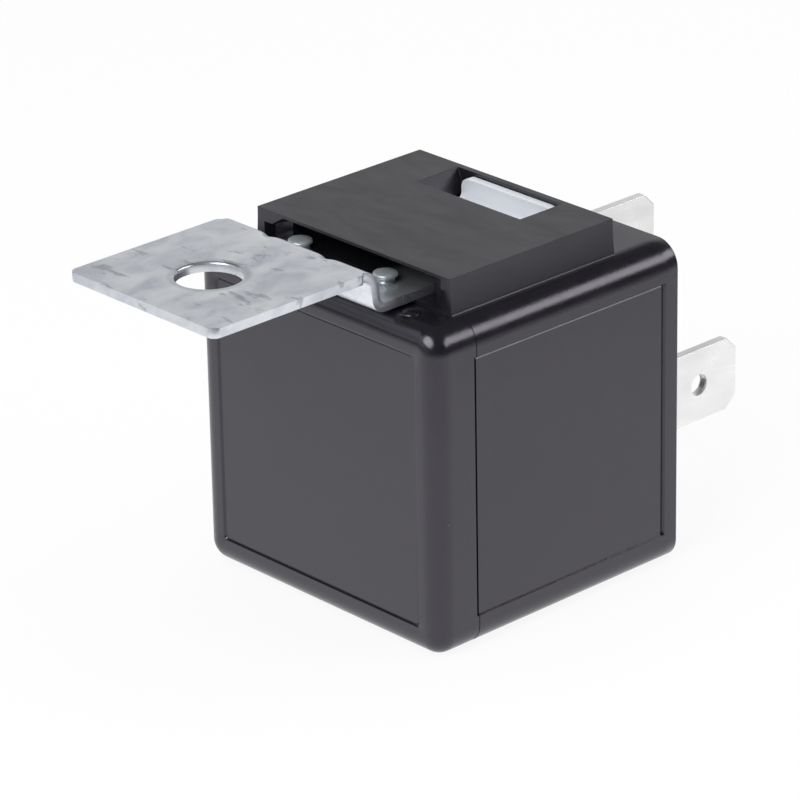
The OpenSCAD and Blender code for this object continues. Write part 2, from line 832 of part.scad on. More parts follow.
// The quarter bend round the armature's upper end.
module spring_corner() {
    r = spring_bend_r;
    y = armature_out + r;
    z = hinge_z - r;
    translate([-spring_w / 2, y, z]) rotate([90, 0, 90])
        rotate([0, 0, 90]) rotate_extrude(angle = 90)
            translate([r, 0]) square([spring_t, spring_w]);
    span([-spring_w / 2, y - eps, hinge_z], [spring_w / 2, hinge_y + eps, hinge_z + spring_t]);
}

// The long leg of the spring, which narrows to the contact.
module spring_blade() {
    w = spring_w / 2;
    tip = spring_tip_w / 2;
    bend = hinge_z - spring_bend_r + eps;
    neck = armature_low - neck_low;
    along_y(spring_out, armature_out) polygon([
        [-w, bend], [-w, neck + neck_h], [-tip, neck], [-tip, spring_low],
        [tip, spring_low], [tip, neck], [w, neck + neck_h], [w, bend],
    ]);
}

// Rivets that hold the spring on the armature, flush with its inner face.
module armature_rivets() {
    color([0.75, 0.72, 0.6]) as_open() at_armature_rivets() {
        rod_y(arm_rivet_d / 2, spring_out - shank_out, pole_y - slip);
        rod_y(arm_rivet_head_d / 2, spring_out - head_t, spring_out);
    }
}

// Contact rivet on the spring, with its face towards the fixed contact.
module moving_contact() {
    color([0.86, 0.86, 0.84]) as_open() translate([0, 0, contact_z]) {
        rod_y(contact_d / 2, armature_out, contact_face);
        rod_y(contact_d / 4, spring_out - shank_out, armature_out + eps);
        rod_y(contact_d / 2 - 0.4, spring_out - head_t, spring_out);
    }
}

// Contact rivet on the upright end of terminal 87.
module fixed_contact() {
    color([0.86, 0.86, 0.84]) translate([0, 0, contact_z]) {
        rod_y(contact_d / 2, contact_face, plate_front);
        rod_y(contact_d / 4, plate_front - eps, plate_back + 0.1);
        rod_y(contact_d / 2 - 0.4, plate_back, plate_back + 0.3);
    }
}

cap();
mounting_bracket();
bracket_rivets();
base();
terminal_30();
terminal_87();
terminal_85();
terminal_86();
bobbin();
coil_winding();
coil_tape();
core();
yoke();
yoke_rivets();
armature();
contact_spring();
armature_rivets();
moving_contact();
fixed_contact();
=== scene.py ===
"""Looks of the relay: detailed pieces, materials, floor, light and camera."""
import json
import math
from collections import namedtuple

import bmesh
import bpy
from mathutils import Matrix, Vector


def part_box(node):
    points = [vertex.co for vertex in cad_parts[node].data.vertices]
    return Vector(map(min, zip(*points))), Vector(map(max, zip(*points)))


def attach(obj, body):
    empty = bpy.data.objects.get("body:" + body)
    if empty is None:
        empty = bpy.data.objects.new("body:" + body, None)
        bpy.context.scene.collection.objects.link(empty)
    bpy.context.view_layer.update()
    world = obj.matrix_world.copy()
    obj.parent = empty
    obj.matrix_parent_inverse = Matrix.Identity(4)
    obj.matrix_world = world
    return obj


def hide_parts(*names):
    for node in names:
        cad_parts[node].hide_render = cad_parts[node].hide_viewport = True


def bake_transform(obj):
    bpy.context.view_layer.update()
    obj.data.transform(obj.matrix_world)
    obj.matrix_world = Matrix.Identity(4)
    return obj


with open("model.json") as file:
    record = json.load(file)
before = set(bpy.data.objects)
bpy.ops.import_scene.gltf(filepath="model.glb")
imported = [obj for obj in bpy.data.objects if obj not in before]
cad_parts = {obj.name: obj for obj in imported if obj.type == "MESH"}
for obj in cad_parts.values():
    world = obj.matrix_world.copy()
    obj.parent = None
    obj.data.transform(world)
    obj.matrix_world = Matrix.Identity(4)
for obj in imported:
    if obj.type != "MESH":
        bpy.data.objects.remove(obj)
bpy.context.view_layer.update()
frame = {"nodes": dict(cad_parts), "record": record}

MM = 0.001
HOUSING = "housing"


def box_mm(node):
    """Low and high corner of a CAD node, to a hundredth of a millimetre."""
    return [[round(v / MM, 2) for v in corner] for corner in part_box(node)]


# ------------------------------------------------------------------ sizes, in mm

CAP_BOX = box_mm("cap")
SHEET_BOX = box_mm("mounting_bracket")

CAP_W = CAP_BOX[1][0] - CAP_BOX[0][0]
CAP_H = 28.0                            # without the pocket block on top
FRONT, RIM = CAP_BOX[0][1], CAP_BOX[1][1]
WALL = 1.2
LEDGE = 0.4                             # how far the base plate's seat stands in from the wall
BASE_SEAT = 10.62
R_TOP, R_LOW, R_FRONT = 2.2, 1.8, 1.6   # roundings of the cap's edges
PANEL_D, PANEL_M = 0.15, 2.35           # depth of the bare panels, and the margin round them
SEAM = -9.25                            # where the side panel begins

POCKET_X = (-10.4, 12.1)
POCKET_Y = (-9.9, 8.0)
POCKET_TOP = CAP_BOX[1][2]
SLOT_Z = (28.25, 30.0)
WINDOW_X = (-5.15, 6.85)
WINDOW_Y = (2.75, 7.4)

SHEET = 0.8
TAB_HALF = SHEET_BOX[1][0]
TAB_START, TAB_END = SHEET_BOX[0][1], -15.5
TAB_TOP = SHEET_BOX[1][2]
FLANGE_TOP = round(SHEET_BOX[0][2] + SHEET, 2)
FLANGE_HALF, FLANGE_END = 8.15, 6.05
HOLE_R = 2.7
HOLE_S = 6.95                           # from the tab's free end to the middle of the hole
RIVET_X, RIVET_Y = 4.95, -10.15


# ------------------------------------------------------------------ node helpers

class Nodes:
    """A node tree with short calls for the nodes that it needs."""

    def __init__(self, tree):
        self.tree = tree
        self.coord = None

    def node(self, kind, **values):
        n = self.tree.nodes.new(kind)
        for key, value in values.items():
            if key in n.inputs:
                n.inputs[key].default_value = value
            else:
                setattr(n, key, value)
        return n

    def give(self, value, sock):
        """Sets a socket to a number or colour, or links an output to it."""
        if isinstance(value, (int, float)):
            sock.default_value = value
        elif hasattr(value, "__len__"):
            sock.default_value = (*value, 1) if sock.type == "RGBA" else value
        else:
            self.tree.links.new(value, sock)

    def place(self, scale=(1, 1, 1), turn=(0, 0, 0)):
        """The point in the piece's own frame, scaled and turned."""
        if self.coord is None:
            self.coord = self.node("ShaderNodeTexCoord")
        m = self.node("ShaderNodeMapping", Scale=scale, Rotation=turn)
        self.give(self.coord.outputs["Object"], m.inputs["Vector"])
        return m.outputs["Vector"]

    def axis(self, letter):
        """One coordinate of the point, in metres."""
        parts = self.node("ShaderNodeSeparateXYZ")
        self.give(self.place(), parts.inputs[0])
        return parts.outputs[letter]

    def noise(self, size_mm, detail=4.0, rough=0.5, stretch=(1, 1, 1), turn=(0, 0, 0), dist=0.0):
        n = self.node("ShaderNodeTexNoise", Scale=1.0 / (size_mm * MM), Detail=detail,
                      Roughness=rough, Distortion=dist)
        self.give(self.place(stretch, turn), n.inputs["Vector"])
        return n.outputs["Fac"]

    def ramp(self, fac, stops):
        """Colours, or greys given as one number, at some values."""
        r = self.node("ShaderNodeValToRGB")
        points = r.color_ramp.elements
        while len(points) < len(stops):
            points.new(0.5)
        for point, (value, colour) in zip(points, stops):
            point.position = value
            if not hasattr(colour, "__len__"):
                colour = (colour, colour, colour)
            point.color = (*colour, 1)
        self.give(fac, r.inputs["Fac"])
        return r.outputs["Color"]

    def span(self, value, lo, hi, at_lo, at_hi):
        """Maps a range of one value smoothly to another range."""
        r = self.node("ShaderNodeMapRange", interpolation_type="SMOOTHSTEP")
        for sock, v in zip(r.inputs, (value, lo, hi, at_lo, at_hi)):
            self.give(v, sock)
        return r.outputs[0]

    def math(self, op, a, b):
        m = self.node("ShaderNodeMath", operation=op)
        self.give(a, m.inputs[0])
        self.give(b, m.inputs[1])
        return m.outputs[0]

    def blend(self, fac, a, b):
        """A number between a and b."""
        return self.math("ADD", self.math("MULTIPLY", self.math("SUBTRACT", 1.0, fac), a),
                         self.math("MULTIPLY", fac, b))

    def mix(self, fac, a, b, blend="MIX"):
        """A colour between a and b."""
        m = self.node("ShaderNodeMix", data_type="RGBA", blend_type=blend)
        self.give(fac, m.inputs[0])
        self.give(a, m.inputs[6])
        self.give(b, m.inputs[7])
        return m.outputs[2]

    def bump(self, height, strength, distance_mm, onto=None):
        b = self.node("ShaderNodeBump", Strength=strength, Distance=distance_mm * MM)
        self.give(height, b.inputs["Height"])
        if onto is not None:
            self.give(onto, b.inputs["Normal"])
        return b.outputs["Normal"]


class Mat(Nodes):
    """A material with one Principled shader."""

    def __init__(self, name):
        self.mat = bpy.data.materials.new(name)
        self.mat.use_nodes = True
        super().__init__(self.mat.node_tree)
        self.bsdf = self.tree.nodes["Principled BSDF"]

    def set(self, **values):
        for key, value in values.items():
            self.give(value, self.bsdf.inputs[key.replace("_", " ")])


# ------------------------------------------------------------------ materials

def shades(colour, *factors):
    """Lighter and darker versions of a colour."""
    return [[min(c * f, 1) for c in colour] for f in factors]


DUST = (0.16, 0.16, 0.17)


def black_plastic(name, tint, rough, shine=0.85):
    """Moulded black plastic with rubbed patches and a few pale specks of dust."""
    m = Mat(name)
    cloud = m.noise(6, 3, 0.5)
    fine = m.noise(0.16, 2, 0.6)
    rub = m.noise(1.8, 5, 0.65, stretch=(0.4, 1, 1), dist=0.4)
    dots = m.node("ShaderNodeTexVoronoi", Scale=1 / (2.6 * MM))
    m.give(m.place(), dots.inputs["Vector"])
    speck = m.math("MULTIPLY", m.span(dots.outputs["Distance"], 0.02, 0.035, 1.0, 0.0),
                   m.span(m.noise(5, 2, 0.5), 0.55, 0.6, 0.0, 0.8))
    dark, light = shades(tint, 0.92, 1.08)
    body = m.ramp(cloud, [(0.3, dark), (0.7, light)])
    m.set(Base_Color=m.mix(speck, body, DUST),
          Roughness=m.ramp(rub, [(0.35, rough - 0.03), (0.7, rough + 0.06)]),
          Normal=m.bump(cloud, 0.1, 0.1, m.bump(fine, 0.5, 0.02)),
          Specular_IOR_Level=shine, Specular_Tint=(0.915, 0.88, 1.0))
    return m.mat


def zinc_sheet(name):
    """Zinc plating: smudged on the tab with painted shade round the hole's rim, glossy on the
    flange, dull and bright on the catch.
    """
    m = Mat(name)
    patches = m.noise(2.4, 5, 0.6, stretch=(1, 0.55, 1), turn=(0, 0, 0.5), dist=0.6)
    smudge = m.noise(1.5, 4, 0.55, stretch=(0.55, 1.3, 1), turn=(0, 0, -0.25), dist=0.3)
    fine = m.noise(0.12, 3, 0.6)

    from_hole = m.node("ShaderNodeVectorMath", operation="DISTANCE")
    m.give(m.place(), from_hole.inputs[0])
    m.give((0, (TAB_START + HOLE_S) * MM, 31.8 * MM), from_hole.inputs[1])
    # ring darkens the colour on and just round the hole's rolled rim: painted shade, multiplied
    # into the smudges
    ring = m.span(from_hole.outputs["Value"], 3.05 * MM, 3.5 * MM, 0.8, 1.0)
    smudge_and_rim_shade = m.math("MULTIPLY", m.span(smudge, 0.30, 0.40, 0.66, 1.0), ring)
    clean = m.ramp(patches, [(0.34, (0.72, 0.75, 0.82)), (0.52, (0.84, 0.87, 0.925)),
                             (0.66, (0.90, 0.92, 0.96))])
    tab = m.mix(1.0, clean, smudge_and_rim_shade, "MULTIPLY")

    flange = m.span(m.axis("Y"), -12.2 * MM, -10.0 * MM, 0.0, 1.0)
    catch = m.span(m.axis("Y"), 2 * MM, 3 * MM, 0.0, 1.0)
    dull_end = m.math("MULTIPLY", flange, m.span(m.axis("X"), 2.8 * MM, 5 * MM, 0.0, 0.1))
    metallic = m.math("SUBTRACT", m.blend(flange, 0.9, 1.0), dull_end)
    rough = m.ramp(patches, [(0.35, 0.40), (0.65, 0.29)])
    colour = m.mix(flange, tab, (0.86, 0.90, 0.93))
    m.set(Base_Color=m.mix(catch, colour, (0.82, 0.85, 0.90)),
          Roughness=m.blend(m.math("SUBTRACT", flange, catch), rough, 0.2),
          Metallic=m.blend(catch, metallic, 0.2),
          Normal=m.bump(smudge, 0.15, 0.03, m.bump(fine, 0.15, 0.02)))
    return m.mat


def metal(name, colour, rough, metallic=1.0, stretch=(1, 1, 1), size=0.6, spread=0.12):
    """Plain metal whose colour and gloss vary a little along its grain."""
    m = Mat(name)
    grain = m.noise(size, 4, 0.6, stretch=stretch)
    fine = m.noise(0.1, 2, 0.5, stretch=stretch)
    dark, light = shades(colour, 1 - spread, 1 + spread * 0.6)
    m.set(Base_Color=m.ramp(grain, [(0.3, dark), (0.7, light)]),
          Roughness=m.ramp(grain, [(0.3, rough + 0.06), (0.7, rough - 0.05)]),
          Normal=m.bump(fine, 0.2, 0.015), Metallic=metallic)
    return m.mat


def moulding(name, colour, rough):
    """Pale plastic or tape, slightly uneven."""
    m = Mat(name)
    cloud = m.noise(3, 3, 0.5)
    fine = m.noise(0.15, 2, 0.6)
    dark, light = shades(colour, 0.93, 1)
    m.set(Base_Color=m.ramp(cloud, [(0.3, dark), (0.7, light)]), Roughness=rough,
          Normal=m.bump(fine, 0.2, 0.02))
    return m.mat


def copper_turns(name, colour, pitch=0.2):
    """Lacquered wire wound along Y, its colour darker in the grooves between turns as painted
    shade; the pitch is in millimetres.
    """
    m = Mat(name)
    turns = m.node("ShaderNodeTexWave", wave_type="BANDS", bands_direction="Y",
                   Scale=1 / (pitch * MM) / math.tau, Distortion=0.3)
    m.give(m.place(), turns.inputs["Vector"])
    height = turns.outputs["Fac"]
    # The colour follows the turns' height, darker in the grooves between them: painted shade
    dark, light = shades(colour, 0.55, 1)
    m.set(Base_Color=m.ramp(height, [(0.0, dark), (0.6, light)]), Roughness=0.3, Metallic=0.9,
          Normal=m.bump(height, 0.5, 0.05), Coat_Weight=0.6, Coat_Roughness=0.15)
    return m.mat


CAP_BLACK = (0.0095, 0.0088, 0.012)
CAP_MAT = black_plastic("cap_plastic", CAP_BLACK, 0.2)
POCKET_MAT = black_plastic("pocket_plastic", CAP_BLACK, 0.34)
BASE_MAT = black_plastic("base_plastic", (0.018, 0.018, 0.019), 0.4)
ZINC = zinc_sheet("zinc_sheet")
RIVET_MAT = metal("rivet_steel", (0.62, 0.67, 0.70), 0.38, metallic=0.7, size=0.5)
TIN = metal("tin_plating", (0.97, 0.96, 0.96), 0.3, metallic=0.8, stretch=(1, 0.3, 1),
            size=1.6, spread=0.05)
NYLON = moulding("nylon", (0.78, 0.75, 0.66), 0.5)
COPPER = copper_turns("copper_winding", (0.70, 0.28, 0.10))
TAPE = moulding("amber_tape", (0.62, 0.40, 0.10), 0.25)
IRON = metal("plated_iron", (0.56, 0.57, 0.60), 0.38, size=1.0)
BRONZE = metal("spring_bronze", (0.75, 0.50, 0.24), 0.3, stretch=(1, 1, 0.2), size=0.8)
SMALL = metal("small_rivets", (0.68, 0.64, 0.52), 0.35)
SILVER = metal("contact_silver", (0.88, 0.87, 0.84), 0.28)


# ------------------------------------------------------------------ mesh helpers

def show(name, bm):
    """Turns a bmesh into an object of the scene."""
    bmesh.ops.recalc_face_normals(bm, faces=bm.faces)
    me = bpy.data.meshes.new(name)
    bm.to_mesh(me)
    bm.free()
    ob = bpy.data.objects.new(name, me)
    bpy.context.scene.collection.objects.link(ob)
    return ob


def piece(name, bm, mat, node, body=HOUSING, sharp=35):
    """Turns a bmesh in millimetres into a piece, which rides on a body if one is named."""
    ob = show(name, bm)
    ob.data.transform(Matrix.Scale(MM, 4))
    ob.data.shade_smooth()
    ob.data.set_sharp_from_angle(angle=math.radians(sharp))
    ob.data.materials.append(mat)
    if body:
        even = ob.modifiers.new("even_shading", "WEIGHTED_NORMAL")
        even.weight = 90
        even.keep_sharp = True
        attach(ob, body)
    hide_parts(node)
    return ob


def join_flats(bm):
    """Joins faces that lie in one plane."""
    bmesh.ops.dissolve_limit(bm, angle_limit=math.radians(0.5), verts=bm.verts, edges=bm.edges)


def from_node(node):
    """The CAD node's mesh as a bmesh in millimetres, with flat faces joined."""
    bm = bmesh.new()
    bm.from_mesh(frame["nodes"][node].data)
    bmesh.ops.scale(bm, vec=(1 / MM, 1 / MM, 1 / MM), verts=bm.verts)
    bmesh.ops.remove_doubles(bm, verts=bm.verts, dist=1e-3)
    join_flats(bm)
    return bm


def box_bm(lo, hi):
    bm = bmesh.new()
    bmesh.ops.create_cube(bm, size=1)
    for v in bm.verts:
        v.co = Vector([lo[i] if v.co[i] < 0 else hi[i] for i in range(3)])
    return bm


def hull_bm(points):
    """The convex solid round some points."""
    bm = bmesh.new()
    bmesh.ops.convex_hull(bm, input=[bm.verts.new(p) for p in points])
    return bm


def join_rings(bm, low, high):
    """Faces between two closed rings of as many points."""
    for i in range(len(low)):
        j = (i + 1) % len(low)
        bm.faces.new((low[i], low[j], high[j], high[i]))


def prism_bm(points, z0, z1):
    """An upright prism over an outline in X and Y."""
    bm = bmesh.new()
    low, high = ([bm.verts.new((x, y, z)) for x, y in points] for z in (z0, z1))
    bm.faces.new(low[::-1])
    bm.faces.new(high)
    join_rings(bm, low, high)
    return bm


def lathe(bm, profile, centre, turns=40):
    """Revolves a profile of (radius, height) pairs, closed on its axis, round a vertical line."""
    def at(r, z, k):
        a = math.tau * k / turns
        return bm.verts.new((centre[0] + r * math.cos(a), centre[1] + r * math.sin(a), z))

    rings = [[at(r, z, k) for k in range(turns if r else 1)] for r, z in profile]
    for low, high in zip(rings, rings[1:]):
        if len(low) == len(high):
            join_rings(bm, low, high)
            continue
        for k in range(turns):
            j = (k + 1) % turns
            if len(low) == 1:
                bm.faces.new((low[0], high[j], high[k]))
            else:
                bm.faces.new((low[k], low[j], high[0]))


def cut(base_bm, tools):
    """The first solid less the others, worked out at once."""
    base = show("base_solid", base_bm)
    cutters = [show("tool", t) for t in tools]
    for cutter in cutters:
        boolean = base.modifiers.new("cut", "BOOLEAN")
        boolean.operation = "DIFFERENCE"
        boolean.solver = "EXACT"
        boolean.object = cutter
    bpy.context.view_layer.update()
    out = bmesh.new()
    out.from_mesh(base.evaluated_get(bpy.context.evaluated_depsgraph_get()).to_mesh())
    for ob in [base, *cutters]:
        bpy.data.objects.remove(ob)
    bmesh.ops.remove_doubles(out, verts=out.verts, dist=1e-5)
    join_flats(out)
    return out


def soften(bm, width, segments=2, angle=25, chosen=lambda e: True):
    """Rounds the chosen edges that turn by more than an angle."""
    bm.normal_update()
    edges = [e for e in bm.edges if len(e.link_faces) == 2
             and e.calc_face_angle(0) > math.radians(angle) and chosen(e)]
    bmesh.ops.bevel(bm, geom=edges, offset=width, segments=segments, profile=0.5,
                    affect="EDGES", clamp_overlap=True)


def slice_up(bm, values, axis, where=lambda co: True):
    """Cuts the faces that lie in a place by parallel planes."""
    normal = Vector((0, 0, 0))
    normal[axis] = 1
    for value in values:
        faces = [f for f in bm.faces if all(where(v.co) for v in f.verts)]
        chosen = set(faces)
        edges = [e for e in bm.edges if any(f in chosen for f in e.link_faces)]
        verts = [v for v in bm.verts if any(f in chosen for f in v.link_faces)]
        bmesh.ops.bisect_plane(bm, geom=verts + edges + faces, plane_co=normal * value,
                               plane_no=normal, dist=1e-5)


# ------------------------------------------------------------------ cap

STEP = 0.07             # half width of the small slopes round the side panel
EDGE = 0.05             # flat beside each rounding, which keeps the faces' shading flat
ARC = 10                # facets of a quarter round
APART = 0.001           # least distance between two points of a section
GROOVE = 0.1            # how much deeper the grooves beside the side panel are
GROOVE_H = 0.1          # height of the groove under the panel's upper edge
SEAM_GROOVE = 0.38      # depth of the groove at the seam
# Place behind the seam, inset of the outline, and depth in the side panel of the seam's rings.
SEAM_RINGS = ((-0.1, 0, 0), (-0.06, 0, 0), (-0.04, 0.05, SEAM_GROOVE), (0.24, 0.05, SEAM_GROOVE),
              (0.26, 0, PANEL_D), (0.3, 0, PANEL_D))
PANEL_LO, PANEL_HI = PANEL_M + 0.4, CAP_H - PANEL_M - 0.75
PANEL_BACK = RIM - 1.5
PANEL_RINGS = (-4, 0, 4, 8)
SIDE_HEIGHTS = (PANEL_LO - STEP, PANEL_LO + STEP, CAP_H / 2 - 5, CAP_H / 2, CAP_H / 2 + 5,
                PANEL_HI - 0.18, PANEL_HI - 0.03, PANEL_HI + 0.05)
# Depth and inward offset of the rings at the front panel's edge: floor, groove, slope and rim.
FRONT_EDGE = ((PANEL_D, 0.26), (PANEL_D, 0.18), (PANEL_D + 0.06, 0.12), (PANEL_D, 0.03),
              (0.02, -0.03), (0, -0.10))
FRONT_GROOVE = 2        # the ring of FRONT_EDGE that makes the groove
FRONT_CORNER_R = 0.3
INNER_R = 1.0           # rounding inside the cap
LEAST_R_TOP, LEAST_R_LOW = 0.3, 0.2


def section(inset, corner=None):
    """Points round the cap's outline in X and Z, inset by a distance."""
    w = CAP_W / 2 - inset
    r_top = max(R_TOP - inset, LEAST_R_TOP) if corner is None else corner
    r_low = max(R_LOW - inset, LEAST_R_LOW) if corner is None else corner
    z0, z1 = inset, CAP_H - inset
    side_lo, side_hi = z0 + r_low + EDGE, z1 - r_top - EDGE
    count = len(SIDE_HEIGHTS)
    stops = [min(max(z, side_lo + APART * (i + 1)), side_hi - APART * (count + 1 - i))
             for i, z in enumerate(SIDE_HEIGHTS)]
    pts = []

    def arc(cx, cz, r, a0):
        """A quarter round, with a point just before and just after it on the flats."""
        for k in range(-1, ARC + 2):
            a = math.radians(a0 + 90 * min(max(k, 0), ARC) / ARC)
            run = EDGE if k > ARC else -EDGE if k < 0 else 0
            pts.append((cx + r * math.cos(a) - run * math.sin(a),
                        cz + r * math.sin(a) + run * math.cos(a)))

    arc(w - r_low, z0 + r_low, r_low, -90)
    pts.extend((w, z) for z in stops)
    arc(w - r_top, z1 - r_top, r_top, 0)
    arc(-w + r_top, z1 - r_top, r_top, 90)
    pts.extend((-w, z) for z in reversed(stops))
    arc(-w + r_low, z0 + r_low, r_low, 180)
    return pts


def in_side_panel(x, z):
    return abs(x) > CAP_W / 2 - 0.3 and PANEL_LO < z < PANEL_HI


def cap_shell():
    """The cap's outer and inner faces, lofted from front to rim and back inside."""
    bm = bmesh.new()
    rings = []

    def ring(y, inset, corner=None, dent=0.0):
        row = []
        for x, z in section(inset, corner):
            if dent and in_side_panel(x, z):
                deeper = GROOVE if z > PANEL_HI - GROOVE_H else 0
                x -= math.copysign(dent + deeper, x)
            row.append(bm.verts.new((x, y, z)))
        rings.append(row)

    for depth, offset in FRONT_EDGE:
        ring(FRONT + depth, PANEL_M + offset, FRONT_CORNER_R)
    # The front panel's groove follows its left and lower edges and runs out along the top.
    for v in rings[FRONT_GROOVE]:
        if v.co.x > 0 and v.co.z > PANEL_M + 1:
            v.co.y = FRONT + PANEL_D
    ring(FRONT, R_FRONT + EDGE)
    for k in range(ARC + 1):
        a = math.radians(90 * k / ARC)
        ring(FRONT + R_FRONT * (1 - math.cos(a)), R_FRONT * (1 - math.sin(a)))
    ring(FRONT + R_FRONT + EDGE, 0)

    for y, inset, dent in SEAM_RINGS:
        ring(SEAM + y, inset, dent=dent)
    for y in (*PANEL_RINGS, PANEL_BACK - 0.3):
        ring(y, 0, dent=PANEL_D)
    for y in (PANEL_BACK - 0.26, PANEL_BACK - STEP):
        ring(y, 0, dent=PANEL_D + GROOVE)
    ring(PANEL_BACK + STEP, 0)

    for y, inset in ((RIM - 0.12, 0), (RIM - 0.03, 0.03), (RIM, 0.12), (RIM, WALL - 0.08),
                     (RIM - 0.08, WALL), (BASE_SEAT, WALL)):
        ring(y, inset)
    ring(BASE_SEAT, WALL + LEDGE, INNER_R)
    ring(FRONT + WALL + PANEL_D, WALL + LEDGE, INNER_R)

    for one, following in zip(rings, rings[1:]):
        join_rings(bm, one, following)
    bm.faces.new(rings[0][::-1])
    bm.faces.new(rings[-1])
    piece("cap_shell", bm, CAP_MAT, "cap", sharp=32)


# ------------------------------------------------------------------ pocket block

POCKET_SINK = 0.2       # how far the block reaches into the cap's top
POCKET_LEVELS = (0, 0.04, 0.08, 0.13, 0.18, 0.4, 0.8, 1.2, 1.6, 2.0, 2.4, 2.8)
SPREAD, NARROW = 0.22, 0.12     # the sides curve out to the foot, from a little inside the box
FILLET_W, FILLET_H = 0.14, 0.18
SLOT_HALF, MOUTH_HALF = 8.3, 9.3
MOUTH_RIGHT = POCKET_X[1] - 0.35
CATCH_LEFT = -3.9       # left end of the slot's narrow part under the window
CATCH_ROOM = 0.8        # how far the wide part of the slot stays in front of the window
UNDER_TOP = 29.12       # roof of the low gap for the flange's end, left of the catch
LIP_Z = 29.9
WINDOW_Z = (28.28, 32)
WINDOW_FOOT = -4.0      # foot of the window's sloping left wall
WINDOW_STEP = 29.1      # height at which that wall begins to slope


def slot_bm():
    """The bracket's slot: wide at its mouth, more so on the right, and narrow at the catch."""
    front, back = POCKET_Y[0], WINDOW_Y[1]
    behind = WINDOW_Y[0] - CATCH_ROOM
    return prism_bm([(-MOUTH_HALF - 0.4, front - 1), (MOUTH_RIGHT + 2, front - 1),
                     (MOUTH_RIGHT, front), (MOUTH_HALF, front + 1.1), (SLOT_HALF, front + 2.1),
                     (SLOT_HALF, back), (CATCH_LEFT, back), (CATCH_LEFT, behind),
                     (-SLOT_HALF, behind), (-SLOT_HALF, front + 2), (-MOUTH_HALF, front + 1)],
                    *SLOT_Z)


def lip_bm():
    """The chamfer under the roof of the mouth."""
    front = POCKET_Y[0]
    outer = ((-8.9, LIP_Z), (MOUTH_RIGHT, LIP_Z), (-7, POCKET_TOP), (MOUTH_RIGHT, POCKET_TOP))
    inner = [(x, z) for x in (-8, SLOT_HALF) for z in (LIP_Z, SLOT_Z[1])]
    return hull_bm([(x, front - 0.5, z) for x, z in outer]
                   + [(x, front + 1.7, z) for x, z in inner])


def window_bm():
    """The window over the catch, with a sloping left wall."""
    left, right = WINDOW_X
    low, high = WINDOW_Z
    profile = ((WINDOW_FOOT, low), (WINDOW_FOOT, WINDOW_STEP), (left, POCKET_TOP), (left, high),
               (right, low), (right, high))
    return hull_bm([(x, y, z) for y in WINDOW_Y for x, z in profile])


def pocket():
    """The block on the cap's top, with the bracket's slot and the window over its catch."""
    body = box_bm((POCKET_X[0], POCKET_Y[0], CAP_H - POCKET_SINK),
                  (POCKET_X[1], POCKET_Y[1], POCKET_TOP))
    slice_up(body, [CAP_H + level for level in POCKET_LEVELS], 2)
    for v in body.verts:
        low = min((POCKET_TOP - v.co.z) / (POCKET_TOP - CAP_H), 1)
        fillet = min(max(1 - (v.co.z - CAP_H) / FILLET_H, 0), 1)
        out = SPREAD * low * low - NARROW + FILLET_W * fillet * fillet
        v.co.x += math.copysign(1, v.co.x) * out
    gap = [(-SLOT_HALF, 0), (SLOT_HALF, 0), (SLOT_HALF, WINDOW_Y[1]), (-SLOT_HALF, WINDOW_Y[1])]
    under = prism_bm(gap, SLOT_Z[0], UNDER_TOP)
    bm = cut(body, [slot_bm(), under, lip_bm(), window_bm()])
    soften(bm, 0.09, 3, chosen=lambda e: min(v.co.z for v in e.verts) > CAP_H + 0.1)
    piece("pocket_block", bm, POCKET_MAT, "cap")


def gate_mark():
    """The small dome that the mould's gate leaves beside the pocket's mouth."""
    r, h, foot = 0.8, 0.3, 0.03
    angles = [math.radians(a) for a in range(10, 90, 10)]
    profile = [(r + 0.12, CAP_H - 0.02), (r, CAP_H + 0.02),
               *((r * math.cos(a), CAP_H + foot + (h - foot) * math.sin(a)) for a in angles),
               (0, CAP_H + h)]
    bm = bmesh.new()
    lathe(bm, profile, (9.3, POCKET_Y[0] - 1.6), 32)
    piece("gate_mark", bm, CAP_MAT, "cap")


cap_shell()
pocket()
gate_mark()

# ------------------------------------------------------------------ bracket

TAB_BEND_R, FLANGE_BEND_R, CATCH_BEND_R = 0.9, 0.5, 0.45    # inside radii
BEND = math.radians(82)                 # turn of the two bends beside the riser
RISER = ((TAB_TOP - FLANGE_TOP - (TAB_BEND_R + FLANGE_BEND_R + SHEET) * (1 - math.cos(BEND)))
         / math.sin(BEND))
CATCH_RISE = 1.27                       # straight part of the catch
CATCH_X = (-3.8, 6.7)
TAB_R, FLANGE_R, CATCH_R = 0.7, 0.25, 0.8       # corners of the flat sheet
NOTCH_R, NOTCH_BACK = 0.33, 0.38        # corner between the tab and its narrower bend
CATCH_RELIEF = 0.2
SHEARED_R, HOLE_EDGE_R = 0.05, 0.22     # roundings of the sheet's edges and the hole's rim
BEND_CUTS = 12
CUTS_BEFORE, CUTS_AFTER = (0.9, 0.6, 0.3), (0.3, 0.6)   # cuts beside the tab's bend
DIMPLE_X = 3.35
DIMPLE_AT = 0.55                        # its middle, as a share of the bend
DIMPLE_SIZE = (0.6, 0.75)               # across and along the sheet
DIMPLE_DEPTH = 0.4
DIMPLE_CUTS = (0.1, 0.3, 0.5, 0.7, 0.9, 1.2, 1.5)

Stretch = namedtuple("Stretch", "kind start length y z heading radius")


def bracket_path():
    """Flat and bent stretches of the middle of the sheet, from the tab's free end.

    A bend has a radius, which is negative where it turns down, and an angle."""
    mid = SHEET / 2
    return [("line", TAB_END - TAB_START), ("bend", -(TAB_BEND_R + mid), BEND),
            ("line", RISER), ("bend", FLANGE_BEND_R + mid, BEND), ("line to", FLANGE_END),
            ("bend", CATCH_BEND_R + mid, math.pi / 2), ("line", CATCH_RISE)]


